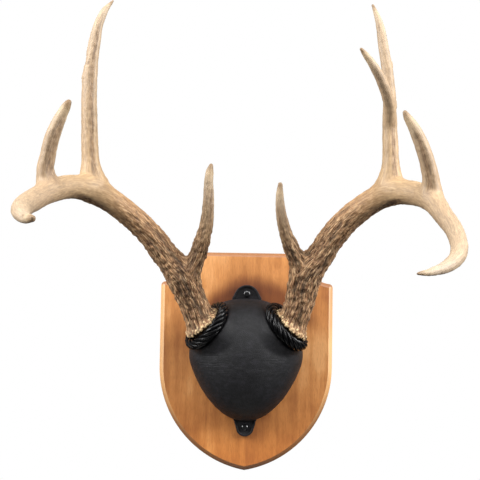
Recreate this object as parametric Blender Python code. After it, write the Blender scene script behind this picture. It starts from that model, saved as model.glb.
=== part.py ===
import math

import bmesh
import bpy
from mathutils import Matrix, Vector

# Antler mounting plaque. Metres, +Z up, front towards -Y, +X the viewer's right.
# The origin is on the plaque's back face, at the middle of its width and height.

gap = 0.0003  # left between pieces that touch
overcut = 0.001  # how far a cutter passes the face it starts from
half_space = 0.1  # a cutter this wide takes away everything past its flat end

# wooden shield
plaque_width = 0.203
plaque_height = 0.255
plaque_thickness = 0.019
point_drop = 0.121  # height of the curved part that runs down to the point
scoop_radius = 0.0355  # hollow cut out of each top corner
ear_round = 0.005
edge_chamfer = 0.0047
arc_steps = 12

# moulded cover over the skull plate
cover_width = 0.134
cover_rise = 0.069  # from its widest place up to its top edge
cover_drop = 0.0745  # from its widest place down to its bottom
cover_bulge = 0.062  # how far its crown stands out from the wood
cover_centre_up = 0.004
cover_crown_power = 0.86
cover_top_power = 2.3
cover_taper_power = 1.3
neck_length = 0.040
neck_flare = 0.010
socket_depth = 0.012

# screw lugs, at the top and bottom of the cover
lug_thickness = 0.0032
rim_width = 0.0022
rim_height = 0.0012
lug_tip = 0.0105  # from a screw's middle to the tip of its lug
lug_shoulder = 28.0  # degrees up the round end where a lug's flare starts
upper_lug_radius = 0.0148
upper_lug_root = 0.0345  # width where it meets the cover
upper_lug_reach = 0.0157  # from its tip down to its root
upper_screw_up = 0.0785
lower_lug_radius = 0.0105
lower_lug_root = 0.0265
lower_lug_reach = 0.0192
lower_screw_down = 0.0775
lug_buried = 0.020

# pan-head wood screws
screw_head_radius = 0.0042
screw_head_height = 0.0026
screw_shank_radius = 0.0021
screw_length = 0.018
screw_point = 0.004
screw_clearance = 0.0004

# twisted cord
cord_radius = 0.0066
cord_strands = 6
cord_lay_turns = 14 / 6
cord_groove = 0.0011
cord_rings = 46
cord_slack = 0.0028  # how far the ring hangs off the middle of the antler's foot
left_cord_lean = (-0.70, -0.45, 0.56)  # the ring leans out more than the burr does
right_cord_lean = (0.69, -0.45, 0.57)

# antler feet
foot_out = 0.0525  # each burr's centre, sideways from the plaque's middle line
foot_forward = 0.058  # from the wall
foot_up = 0.043
burr_radius = 0.0222
burr_below = 0.0028
burr_above = 0.0040
pearl_depth = 0.0014
stub_radius = 0.0170
left_lean = (-0.643, -0.31, 0.70)  # the way each burr faces
right_lean = (0.690, -0.28, 0.667)

# antler beams: reach sideways, sweep forwards and rise over the burr
left_reach = 0.179
left_sweep = 0.310
left_rise = 0.140
right_reach = 0.159
right_sweep = 0.302
right_rise = 0.143
beam_radius = 0.0165
flute_depth = 0.07  # grooves along the antler, as a share of its radius
beam_sides = 14
tine_sides = 12

# tine lengths, measured straight up
left_brow_length = 0.124
left_second_length = 0.217
left_third_length = 0.095
right_brow_length = 0.102
right_second_length = 0.213
right_branch_length = 0.080
right_third_length = 0.091

# Stations are shares: out of the reach, forward of the sweep, up of the rise,
# and the radius as a share of the beam's radius above the burr.
left_beam = [
    (0.00, 0.00, 0.00, 1.04), (0.06, 0.03, 0.18, 1.00), (0.124, 0.065, 0.358, 1.14),
    (0.226, 0.09, 0.523, 0.98), (0.341, 0.125, 0.703, 0.91), (0.496, 0.175, 0.874, 0.89),
    (0.642, 0.265, 0.981, 0.92), (0.775, 0.375, 1.003, 0.83), (0.88, 0.495, 0.935, 0.75),
    (0.953, 0.62, 0.834, 0.73), (0.982, 0.73, 0.758, 0.67), (0.963, 0.84, 0.695, 0.56),
    (0.917, 0.925, 0.637, 0.37), (0.853, 1.00, 0.615, 0.22)]
right_beam = [
    (0.00, 0.00, 0.00, 1.04), (0.05, 0.033, 0.18, 1.03), (0.094, 0.065, 0.383, 1.15),
    (0.20, 0.09, 0.55, 1.02), (0.312, 0.125, 0.735, 0.96), (0.46, 0.18, 0.889, 0.92),
    (0.63, 0.27, 0.99, 0.92), (0.77, 0.38, 0.98, 0.84), (0.876, 0.485, 0.905, 0.75),
    (0.94, 0.60, 0.757, 0.63), (0.985, 0.71, 0.61, 0.58), (0.981, 0.80, 0.47, 0.55),
    (0.907, 0.88, 0.37, 0.45), (0.78, 0.95, 0.305, 0.28), (0.67, 1.00, 0.28, 0.13)]

# Tine stations are shares of the tine's own length: out, forward, up, radius.
left_brow = [
    (-0.02, 0.0, -0.05, 0.80), (-0.138, 0.11, 0.185, 0.62), (-0.181, 0.18, 0.32, 0.57),
    (-0.224, 0.24, 0.50, 0.46), (-0.237, 0.29, 0.695, 0.40), (-0.242, 0.33, 0.93, 0.31),
    (-0.262, 0.34, 1.02, 0.16)]
left_second = [
    (0.0, 0.0, 0.0, 0.82), (0.028, 0.03, 0.10, 0.72), (0.038, 0.035, 0.185, 0.60),
    (0.046, 0.045, 0.365, 0.56), (0.05, 0.045, 0.55, 0.53), (0.032, 0.04, 0.765, 0.43),
    (-0.005, 0.02, 0.925, 0.30), (-0.06, -0.005, 1.01, 0.11)]
left_third = [
    (0.0, 0.0, 0.0, 0.67), (0.056, 0.065, 0.20, 0.59), (0.026, 0.115, 0.39, 0.53),
    (-0.028, 0.17, 0.60, 0.505), (-0.095, 0.20, 0.76, 0.44), (-0.18, 0.23, 0.925, 0.31),
    (-0.22, 0.24, 0.995, 0.18)]
right_brow = [
    (-0.02, 0.0, -0.07, 0.80), (-0.12, 0.12, 0.175, 0.59), (-0.201, 0.195, 0.345, 0.52),
    (-0.268, 0.265, 0.52, 0.44), (-0.307, 0.325, 0.685, 0.36), (-0.322, 0.365, 0.845, 0.30),
    (-0.318, 0.40, 1.005, 0.17)]
right_second = [
    (0.0, 0.0, 0.0, 0.82), (0.012, 0.03, 0.095, 0.71), (0.012, 0.04, 0.195, 0.56),
    (0.007, 0.04, 0.335, 0.53), (-0.001, 0.04, 0.58, 0.42), (-0.03, 0.025, 0.785, 0.37),
    (-0.049, 0.01, 0.90, 0.29), (-0.086, -0.005, 1.012, 0.13)]
right_branch = [
    (0.0, 0.0, 0.0, 0.42), (-0.033, 0.21, 0.31, 0.41), (-0.133, 0.39, 0.551, 0.38),
    (-0.27, 0.54, 0.76, 0.325), (-0.389, 0.61, 0.905, 0.24), (-0.478, 0.66, 1.005, 0.13)]
right_third = [
    (0.0, 0.0, 0.0, 0.67), (0.004, 0.075, 0.175, 0.58), (-0.04, 0.13, 0.375, 0.53),
    (-0.112, 0.185, 0.58, 0.495), (-0.207, 0.23, 0.78, 0.42), (-0.295, 0.265, 0.91, 0.30),
    (-0.346, 0.285, 1.0, 0.17)]

brow_station = 2  # where each tine leaves the beam, by station
second_station = 6
third_station = 8
branch_station = 3  # where the side branch leaves the second tine

wood_front = plaque_thickness + gap
cord_drop = burr_below + 0.72 * cord_radius  # ring's centre under the burr's centre
cord_ring_radius = burr_radius + pearl_depth + 0.5 * cord_radius
neck_radius = cord_ring_radius + 0.5 * cord_radius
stub_length = cord_drop + cord_radius + 0.3 * cord_ring_radius + socket_depth


def clear_scene():
    for thing in list(bpy.data.objects):
        bpy.data.objects.remove(thing, do_unlink=True)


def new_collection(name):
    collection = bpy.data.collections.new(name)
    bpy.context.scene.collection.children.link(collection)
    return collection


def new_material(name, colour, roughness, metallic=0.0):
    material = bpy.data.materials.new(name)
    material.use_nodes = True
    shader = material.node_tree.nodes["Principled BSDF"]
    shader.inputs["Base Color"].default_value = (*colour, 1.0)
    shader.inputs["Roughness"].default_value = roughness
    shader.inputs["Metallic"].default_value = metallic
    return material


def object_from(name, bm, collection):
    bmesh.ops.recalc_face_normals(bm, faces=bm.faces)
    mesh = bpy.data.meshes.new(name)
    bm.to_mesh(mesh)
    bm.free()
    thing = bpy.data.objects.new(name, mesh)
    collection.objects.link(thing)
    return thing


def baked(thing):
    """Replace an object's mesh by its evaluated one, welded, in world space."""
    graph = bpy.context.evaluated_depsgraph_get()
    mesh = bpy.data.meshes.new_from_object(thing.evaluated_get(graph))
    mesh.transform(thing.matrix_world)
    bm = bmesh.new()
    bm.from_mesh(mesh)
    bmesh.ops.remove_doubles(bm, verts=bm.verts, dist=0.00002)
    bpy.data.meshes.remove(mesh)
    name = thing.name
    collection = thing.users_collection[0]
    bpy.data.objects.remove(thing, do_unlink=True)
    return object_from(name, bm, collection)


def combine(thing, tools, operation):
    for tool in tools:
        modifier = thing.modifiers.new("join", "BOOLEAN")
        modifier.operation = operation
        modifier.solver = "EXACT"
        modifier.object = tool
        thing = baked(thing)
        bpy.data.objects.remove(tool, do_unlink=True)
    return thing


def finish(thing, material, smooth_angle):
    thing.data.materials.append(material)
    thing.data.shade_smooth()
    thing.data.set_sharp_from_angle(angle=math.radians(smooth_angle))


def arc(centre, radius, start, end, steps):
    """Points of an arc in the X-Z plane, angles in degrees from +X towards +Z."""
    points = []
    for step in range(steps + 1):
        angle = math.radians(start + (end - start) * step / steps)
        points.append((centre[0] + radius * math.cos(angle),
                       centre[1] + radius * math.sin(angle)))
    return points


def turned_mesh(bm, profile, steps):
    """Turn a profile of (radius, height) about +Z, closed at the axis."""
    rings = [bm.verts.new((radius, 0, height)) for radius, height in profile]
    edges = [bm.edges.new(pair) for pair in zip(rings, rings[1:])]
    bmesh.ops.spin(bm, geom=rings + edges, cent=(0, 0, 0), axis=(0, 0, 1),
                   angle=2 * math.pi, steps=steps, use_merge=True)
    bmesh.ops.remove_doubles(bm, verts=bm.verts, dist=0.00001)


def turn_to(direction):
    """Rotation that takes +Z to the direction."""
    return Vector(direction).to_track_quat("Z", "Y").to_matrix().to_4x4()


def make_plaque(collection, tools, material):
    half = plaque_width / 2
    top = plaque_height / 2
    shoulder = point_drop - plaque_height / 2
    radius = (half ** 2 + point_drop ** 2) / (2 * half)
    sweep = math.degrees(math.asin(point_drop / radius))
    ear_top = top - math.sqrt(scoop_radius ** 2 - ear_round ** 2)
    right = arc((half - radius, shoulder), radius, -sweep, 0, arc_steps)
    ear = arc((half - ear_round, ear_top - ear_round), ear_round, 0, 90, 4)
    scoop = arc((half, top), scoop_radius, -90 - ear_angle(), -180, arc_steps)
    outline = right + ear + scoop[1:]
    outline += [(-x, z) for x, z in reversed(outline[1:])]
    bm = bmesh.new()
    rim = [bm.verts.new((x, 0, z)) for x, z in outline]
    back = bm.faces.new(rim)
    moved = bmesh.ops.extrude_face_region(bm, geom=[back])["geom"]
    front = [part for part in moved if isinstance(part, bmesh.types.BMVert)]
    bmesh.ops.translate(bm, verts=front, vec=(0, -plaque_thickness, 0))
    front_edges = [edge for edge in bm.edges
                   if all(vert.co.y < -plaque_thickness / 2 for vert in edge.verts)]
    bmesh.ops.bevel(bm, geom=front_edges, offset=edge_chamfer, segments=1,
                    affect="EDGES", material=-1)
    plaque = object_from("plaque", bm, collection)
    pilot_depth = screw_length - lug_thickness + overcut
    holes = [rod("pilot", tools, (0, -wood_front - overcut, height), (0, 1, 0),
                 screw_shank_radius + screw_clearance, pilot_depth)
             for height in (upper_screw_up, -lower_screw_down)]
    plaque = combine(plaque, holes, "DIFFERENCE")
    finish(plaque, material, 25)


def ear_angle():
    """Angle by which the scoop stops short of the vertical, at the ear's round."""
    return math.degrees(math.asin(ear_round / scoop_radius))


def rod(name, collection, start, direction, radius, length, sides=24):
    bm = bmesh.new()
    bmesh.ops.create_cone(bm, cap_ends=True, segments=sides, radius1=radius,
                          radius2=radius, depth=length)
    bmesh.ops.translate(bm, verts=bm.verts, vec=(0, 0, length / 2))
    place = Matrix.Translation(start) @ turn_to(direction)
    bmesh.ops.transform(bm, matrix=place, verts=bm.verts)
    return object_from(name, bm, collection)


def cover_radius(across, along):
    """Distance from the dome's middle to its outline, along a unit direction."""
    half = cover_width / 2
    if along >= 0:
        power = cover_top_power
        total = (abs(across) / half) ** power + (along / cover_rise) ** power
        return total ** (-1 / power)
    low, high = 0.0, half + cover_drop
    for _ in range(40):
        middle = (low + high) / 2
        width = abs(across) * middle / half
        down = -along * middle / cover_drop
        inside = width ** 2 + down ** cover_taper_power < 1
        low, high = (middle, high) if inside else (low, middle)
    return low


def make_dome(collection):
    bm = bmesh.new()
    bmesh.ops.create_uvsphere(bm, u_segments=36, v_segments=18, radius=1.0)
    bmesh.ops.rotate(bm, verts=bm.verts, cent=(0, 0, 0),
                     matrix=Matrix.Rotation(math.radians(90), 3, "X"))
    bmesh.ops.bisect_plane(bm, geom=bm.verts[:] + bm.edges[:] + bm.faces[:],
                           plane_co=(0, 0, 0), plane_no=(0, 1, 0), clear_outer=True)
    bmesh.ops.holes_fill(bm, edges=[edge for edge in bm.edges if edge.is_boundary])
    for vert in bm.verts:
        across, along = vert.co.x, vert.co.z
        spread = math.hypot(across, along)
        height = abs(vert.co.y) ** cover_crown_power
        reach = cover_radius(across / spread, along / spread) if spread > 1e-6 else 0.0
        vert.co = (across * reach, -wood_front - cover_bulge * height,
                   cover_centre_up + along * reach)
    back = [face for face in bm.faces
            if all(vert.co.y > -wood_front - gap for vert in face.verts)]
    moved = bmesh.ops.extrude_face_region(bm, geom=back)["geom"]
    bmesh.ops.delete(bm, geom=back, context="FACES_ONLY")
    behind = [part for part in moved if isinstance(part, bmesh.types.BMVert)]
    bmesh.ops.translate(bm, verts=behind, vec=(0, 2 * overcut, 0))
    return object_from("skull_cover", bm, collection)


def lug_outline(radius, root_width, reach, screw_height, shrink=0.0):
    """A flared tab from inside the dome out to a round end past its screw."""
    sign = 1 if screw_height > 0 else -1
    middle = screw_height + sign * (lug_tip - radius)
    end = arc((0, middle), radius - shrink, lug_shoulder * sign,
              (180 - lug_shoulder) * sign, 12)
    root = screw_height + sign * (lug_tip - reach)
    inner = root - sign * (lug_buried + shrink)
    half = root_width / 2 - shrink
    return [(half, inner), (half, root)] + end + [(-half, root), (-half, inner)]


def slab(name, collection, outline, near, far):
    """An outline in the X-Z plane, from y = -near out to y = -far."""
    bm = bmesh.new()
    face = bm.faces.new([bm.verts.new((x, -near, z)) for x, z in outline])
    moved = bmesh.ops.extrude_face_region(bm, geom=[face])["geom"]
    outer = [part for part in moved if isinstance(part, bmesh.types.BMVert)]
    bmesh.ops.translate(bm, verts=outer, vec=(0, near - far, 0))
    return object_from(name, bm, collection)


def make_cover(collection, tools, material):
    """The dome, necks and lugs start behind the wood's face and are cut off at it."""
    cover = make_dome(collection)
    necks = []
    sockets = []
    for side in (-1, 1):
        axis = cord_axis(side)
        top = cord_centre(side) - axis * (cord_radius + gap)
        bm = bmesh.new()
        bmesh.ops.create_cone(bm, cap_ends=True, segments=36, depth=neck_length,
                              radius1=neck_radius + neck_flare, radius2=neck_radius)
        bmesh.ops.translate(bm, verts=bm.verts, vec=(0, 0, overcut - neck_length / 2))
        place = Matrix.Translation(top) @ turn_to(axis)
        bmesh.ops.transform(bm, matrix=place, verts=bm.verts)
        necks.append(object_from("neck", bm, tools))
        sockets.append(rod("facet", tools, top, axis, half_space, half_space))
        foot = foot_centre(side)
        sockets.append(rod("socket", tools, foot, -antler_axis(side), stub_radius + gap,
                           stub_length + gap, 36))
    lugs = []
    recesses = []
    upper = (upper_lug_radius, upper_lug_root, upper_lug_reach, upper_screw_up)
    lower = (lower_lug_radius, lower_lug_root, lower_lug_reach, -lower_screw_down)
    for lug in (upper, lower):
        height = lug[3]
        outer = lug_outline(*lug)
        floor = wood_front + lug_thickness
        lugs.append(slab("lug", tools, outer, wood_front - overcut, floor + rim_height))
        inner = lug_outline(*lug, rim_width)
        recesses.append(slab("recess", tools, inner, floor, floor + rim_height + overcut))
        recesses.append(rod("screw hole", tools, (0, 2 * overcut - wood_front, height),
                            (0, -1, 0), screw_shank_radius + screw_clearance,
                            lug_thickness + 3 * overcut))
    lugs = combine(lugs[0], lugs[1:], "UNION")
    lugs = combine(lugs, recesses, "DIFFERENCE")
    cover = combine(cover, necks, "UNION")
    cover = combine(cover, sockets, "DIFFERENCE")
    cover = combine(cover, [lugs], "UNION")
    wall = rod("wall", tools, (0, -wood_front, 0), (0, 1, 0), 2 * cover_width, half_space)
    cover = combine(cover, [wall], "DIFFERENCE")
    finish(cover, material, 35)


def make_screw(name, collection, material, height):
    dome = [(screw_head_radius * math.cos(math.radians(angle)),
             screw_head_height * (0.35 + 0.65 * math.sin(math.radians(angle))))
            for angle in (0, 22, 45, 68)]
    profile = [(0, screw_head_height)] + list(reversed(dome))
    profile += [(screw_head_radius, 0), (screw_shank_radius, 0)]
    profile += [(screw_shank_radius, screw_point - screw_length), (0, -screw_length)]
    bm = bmesh.new()
    turned_mesh(bm, profile, 16)
    place = Matrix.Translation((0, -wood_front - lug_thickness - gap, height))
    bmesh.ops.transform(bm, matrix=place @ turn_to((0, -1, 0)), verts=bm.verts)
    screw = object_from(name, bm, collection)
    finish(screw, material, 35)


def foot_centre(side):
    return Vector((side * foot_out, -foot_forward, foot_up))


def antler_axis(side):
    return Vector(left_lean if side < 0 else right_lean).normalized()


def cord_axis(side):
    return Vector(left_cord_lean if side < 0 else right_cord_lean).normalized()


def cord_centre(side):
    """The ring hangs under the burr, off centre on the side where it rides up."""
    antler = antler_axis(side)
    ring = cord_axis(side)
    slack = (antler * ring.dot(antler) - ring).normalized()
    return foot_centre(side) - antler * cord_drop + slack * cord_slack


def make_cord(name, collection, material, side):
    """A ring of twisted cord round the antler's foot, lofted from lobed sections."""
    bm = bmesh.new()
    rings = []
    around = cord_strands * 2
    for step in range(cord_rings):
        turn = 2 * math.pi * step / cord_rings
        ring = []
        for index in range(around):
            angle = 2 * math.pi * index / around - turn * cord_lay_turns
            radius = cord_radius - (index % 2) * cord_groove
            out = cord_ring_radius + radius * math.cos(angle)
            ring.append(bm.verts.new((out * math.cos(turn), out * math.sin(turn),
                                      radius * math.sin(angle))))
        rings.append(ring)
    shift = -round(cord_lay_turns * around)
    for step in range(cord_rings):
        ring = rings[step]
        following = rings[(step + 1) % cord_rings]
        offset = shift if step == cord_rings - 1 else 0
        for index in range(around):
            here = (index + 1) % around
            bm.faces.new((ring[index], ring[here], following[(here + offset) % around],
                          following[(index + offset) % around]))
    place = Matrix.Translation(cord_centre(side)) @ turn_to(cord_axis(side))
    bmesh.ops.transform(bm, matrix=place, verts=bm.verts)
    finish(object_from(name, bm, collection), material, 60)


def flute_profile(collection, sides):
    """Cross-section of an antler: round, with shallow grooves along it."""
    curve = bpy.data.curves.new("flutes", "CURVE")
    curve.dimensions = "2D"
    spline = curve.splines.new("POLY")
    spline.points.add(sides - 1)
    spline.use_cyclic_u = True
    for index, point in enumerate(spline.points):
        angle = 2 * math.pi * index / sides
        radius = 1 - (index % 2) * flute_depth
        point.co = (radius * math.cos(angle), radius * math.sin(angle), 0, 1)
    thing = bpy.data.objects.new("flutes", curve)
    collection.objects.link(thing)
    return thing


def stem(name, collection, stations, sides):
    """A fluted tapering stem through stations of (place, radius)."""
    profile = flute_profile(collection, sides)
    curve = bpy.data.curves.new(name, "CURVE")
    curve.dimensions = "3D"
    curve.resolution_u = 2
    curve.twist_mode = "MINIMUM"
    curve.bevel_mode = "OBJECT"
    curve.bevel_object = profile
    curve.use_fill_caps = True
    spline = curve.splines.new("BEZIER")
    spline.bezier_points.add(len(stations) - 1)
    for point, (place, radius) in zip(spline.bezier_points, stations):
        point.co = place
        point.radius = radius
        point.handle_left_type = "AUTO"
        point.handle_right_type = "AUTO"
    thing = bpy.data.objects.new(name, curve)
    collection.objects.link(thing)
    thing = baked(thing)
    bpy.data.objects.remove(profile, do_unlink=True)
    return thing


def beam_stations(side, shares, reach, sweep, rise):
    start = foot_centre(side)
    return [(start + Vector((side * reach * out, -sweep * forward, rise * up)),
             beam_radius * thick) for out, forward, up, thick in shares]


def tine_stations(side, shares, length, root):
    return [(root + Vector((side * out, -forward, up)) * length, beam_radius * thick)
            for out, forward, up, thick in shares]


def make_foot(tools, side):
    """The burr's pearled collar, and the round stub under it."""
    axis = antler_axis(side)
    place = Matrix.Translation(foot_centre(side)) @ turn_to(axis)
    profile = [(0, burr_above + 0.003), (beam_radius * 0.9, burr_above + 0.003),
               (burr_radius * 0.90, burr_above * 0.6), (burr_radius, 0),
               (burr_radius * 0.93, -burr_below), (0, -burr_below)]
    bm = bmesh.new()
    turned_mesh(bm, profile, 36)
    for vert in bm.verts:
        angle = math.atan2(vert.co.y, vert.co.x)
        spread = math.hypot(vert.co.x, vert.co.y)
        if spread > burr_radius * 0.85:
            push = pearl_depth * (0.6 * math.sin(9 * angle) + 0.4 * math.sin(14 * angle + side))
            vert.co.x *= 1 + push / spread
            vert.co.y *= 1 + push / spread
    bmesh.ops.transform(bm, matrix=place, verts=bm.verts)
    burr = object_from("burr", bm, tools)
    bottom = foot_centre(side) - axis * stub_length
    stub = rod("stub", tools, bottom, axis, stub_radius, stub_length, 36)
    return [burr, stub]


def make_antler(name, collection, tools, material, side, beam, tines):
    antler = stem(name, collection, beam, beam_sides)
    parts = make_foot(tools, side)
    parts += [stem("tine", tools, stations, tine_sides) for stations in tines]
    antler = combine(antler, parts, "UNION")
    finish(antler, material, 45)


def make_left_antler(collection, tools, material):
    beam = beam_stations(-1, left_beam, left_reach, left_sweep, left_rise)
    tines = [tine_stations(-1, left_brow, left_brow_length, beam[brow_station][0]),
             tine_stations(-1, left_second, left_second_length, beam[second_station][0]),
             tine_stations(-1, left_third, left_third_length, beam[third_station][0])]
    make_antler("left_antler", collection, tools, material, -1, beam, tines)


def make_right_antler(collection, tools, material):
    beam = beam_stations(1, right_beam, right_reach, right_sweep, right_rise)
    second = tine_stations(1, right_second, right_second_length, beam[second_station][0])
    branch = tine_stations(1, right_branch, right_branch_length, second[branch_station][0])
    tines = [tine_stations(1, right_brow, right_brow_length, beam[brow_station][0]),
             second, branch,
             tine_stations(1, right_third, right_third_length, beam[third_station][0])]
    make_antler("right_antler", collection, tools, material, 1, beam, tines)


def main():
    clear_scene()
    collection = new_collection("antler_mounting_plaque")
    tools = new_collection("tools")
    cherry = new_material("oiled cherry", (0.60, 0.27, 0.10), 0.45)
    moulding = new_material("black grained moulding", (0.012, 0.012, 0.013), 0.55)
    black_steel = new_material("black screw", (0.01, 0.01, 0.01), 0.25)
    satin = new_material("black satin cord", (0.012, 0.012, 0.014), 0.5)
    antler = new_material("antler", (0.36, 0.26, 0.16), 0.6)
    make_plaque(collection, tools, cherry)
    make_cover(collection, tools, moulding)
    make_screw("upper_screw", collection, black_steel, upper_screw_up)
    make_screw("lower_screw", collection, black_steel, -lower_screw_down)
    make_cord("left_rope", collection, satin, -1)
    make_cord("right_rope", collection, satin, 1)
    make_left_antler(collection, tools, antler)
    make_right_antler(collection, tools, antler)


main()
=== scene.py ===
import math
from collections import namedtuple

import bmesh
import bpy
from mathutils import Matrix, Vector, noise
from mathutils.kdtree import KDTree


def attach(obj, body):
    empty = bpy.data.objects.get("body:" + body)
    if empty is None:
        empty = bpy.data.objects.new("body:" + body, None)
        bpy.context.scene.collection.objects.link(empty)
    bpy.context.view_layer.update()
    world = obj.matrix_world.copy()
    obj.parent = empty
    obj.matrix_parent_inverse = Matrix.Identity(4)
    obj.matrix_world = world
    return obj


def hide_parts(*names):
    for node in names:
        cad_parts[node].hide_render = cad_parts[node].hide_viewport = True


# A wall plaque with a pair of whitetail antlers: cherry shield, black grained
# cover, two black satin cords and two black screws. Metres, the front towards -Y.

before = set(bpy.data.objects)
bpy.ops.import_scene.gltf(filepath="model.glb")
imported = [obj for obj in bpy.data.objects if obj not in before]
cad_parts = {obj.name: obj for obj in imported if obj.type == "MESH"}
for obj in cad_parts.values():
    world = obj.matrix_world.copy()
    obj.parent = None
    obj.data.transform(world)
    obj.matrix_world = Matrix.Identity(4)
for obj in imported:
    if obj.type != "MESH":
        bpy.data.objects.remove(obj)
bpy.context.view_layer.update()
scene = bpy.context.scene
print("frame loaded,", len(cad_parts), "nodes")


# Colours are written as sRGB hex, the way a colour picker shows them.
def toLinear(hexText):
    channels = [int(hexText[i:i + 2], 16) / 255 for i in (1, 3, 5)]
    linear = [c / 12.92 if c <= 0.04045 else ((c + 0.055) / 1.055) ** 2.4 for c in channels]
    return (*linear, 1.0)


def addNode(tree, kind, values=None, links=None, **settings):
    node = tree.nodes.new(kind)
    for name, value in settings.items():
        setattr(node, name, value)
    for socket, value in (values or {}).items():
        node.inputs[socket].default_value = value
    for socket, source in (links or {}).items():
        tree.links.new(source, node.inputs[socket])
    return node


def newMaterial(name):
    material = bpy.data.materials.new(name)
    material.use_nodes = True
    tree = material.node_tree
    tree.nodes.clear()
    shader = addNode(tree, "ShaderNodeBsdfPrincipled")
    addNode(tree, "ShaderNodeOutputMaterial", links={"Surface": shader.outputs["BSDF"]})
    return material, tree, shader


# A ramp is given as (place, hex colour) stops.
def setStops(ramp, stops):
    elements = ramp.color_ramp.elements
    while len(elements) > len(stops):
        elements.remove(elements[-1])
    while len(elements) < len(stops):
        elements.new(1.0)
    for element, (place, hexText) in zip(elements, stops):
        element.position = place
        element.color = toLinear(hexText)


# Scales that give a pattern features of these sizes.
def perSize(sizes):
    return tuple(1 / size for size in sizes)


def objectFrom(name, mesh):
    piece = bpy.data.objects.new(name, mesh)
    scene.collection.objects.link(piece)
    return piece


def meshFrom(name, bm, smooth=True):
    mesh = bpy.data.meshes.new(name)
    bm.to_mesh(mesh)
    bm.free()
    for face in mesh.polygons:
        face.use_smooth = smooth
    return mesh


def addMesh(bm, mesh):
    bm.from_mesh(mesh)
    bpy.data.meshes.remove(mesh)


# Everything live on an object, such as a bevelled curve or a modifier, made a mesh.
def bakedMesh(piece):
    bpy.context.view_layer.update()
    graph = bpy.context.evaluated_depsgraph_get()
    mesh = bpy.data.meshes.new_from_object(piece.evaluated_get(graph))
    data = piece.data
    bpy.data.objects.remove(piece, do_unlink=True)
    if isinstance(data, bpy.types.Curve):
        bpy.data.curves.remove(data)
    return mesh


# Overlapping closed shapes made one even skin.
def remeshed(bm, voxel):
    lumps = objectFrom("lumps", meshFrom("lumps", bm))
    remesh = lumps.modifiers.new("remesh", "REMESH")
    remesh.mode = "VOXEL"
    remesh.voxel_size = voxel
    skin = bmesh.new()
    addMesh(skin, bakedMesh(lumps))
    return skin


def soften(bm, verts, times, factor):
    for _ in range(times):
        bmesh.ops.smooth_vert(bm, verts=verts, factor=factor, use_axis_x=True,
                              use_axis_y=True, use_axis_z=True)


def extrudeBy(bm, faces, step):
    made = bmesh.ops.extrude_face_region(bm, geom=faces)["geom"]
    moved = [item for item in made if isinstance(item, bmesh.types.BMVert)]
    bmesh.ops.translate(bm, verts=moved, vec=step)


# Turns a profile of (distance from the axis, height) into a closed round shape.
def spinProfile(bm, profile, steps):
    chain = [bm.verts.new((out, 0, up)) for out, up in profile]
    edges = [bm.edges.new(pair) for pair in zip(chain, chain[1:])]
    bmesh.ops.spin(bm, geom=chain + edges, cent=(0, 0, 0), axis=(0, 0, 1),
                   angle=2 * math.pi, steps=steps, use_merge=True)
    bmesh.ops.remove_doubles(bm, verts=bm.verts, dist=1e-6)


def finishPiece(piece, material, node):
    piece.data.materials.clear()
    piece.data.materials.append(material)
    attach(piece, "root")
    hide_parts(node)


# Turns +Z to a direction.
def turnTo(direction):
    return Vector(direction).to_track_quat("Z", "Y").to_matrix().to_4x4()


def arcPoints(centre, radius, start, end, steps):
    points = []
    for step in range(steps + 1):
        angle = math.radians(start + (end - start) * step / steps)
        points.append((centre[0] + radius * math.cos(angle),
                       centre[1] + radius * math.sin(angle)))
    return points


# The camera stands 1.75 m off and a little below the plaque, looking up at it.
camera = {
    "target": (-0.0092, -0.019, 0.1425),
    "distance": 1.750,
    "below": 5.0,  # degrees
    "roll": 0.95,  # degrees
    "lens": 110.85,  # on a 36 mm wide sensor
}


def makeCamera():
    below = math.radians(camera["below"])
    roll = math.radians(camera["roll"])
    forward = Vector((0, math.cos(below), math.sin(below)))
    up = Vector((0, -math.sin(below), math.cos(below)))
    right = Vector((1, 0, 0))
    turnedRight = right * math.cos(roll) + up * math.sin(roll)
    turnedUp = up * math.cos(roll) - right * math.sin(roll)
    data = bpy.data.cameras.new("camera")
    data.sensor_width = 36
    data.lens = camera["lens"]
    data.clip_start = 0.05
    data.clip_end = 50
    view = bpy.data.objects.new("camera", data)
    scene.collection.objects.link(view)
    turn = Matrix((turnedRight, turnedUp, -forward)).transposed().to_4x4()
    spot = Vector(camera["target"]) - forward * camera["distance"]
    view.matrix_world = Matrix.Translation(spot) @ turn
    scene.camera = view


makeCamera()
print("camera placed")


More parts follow.
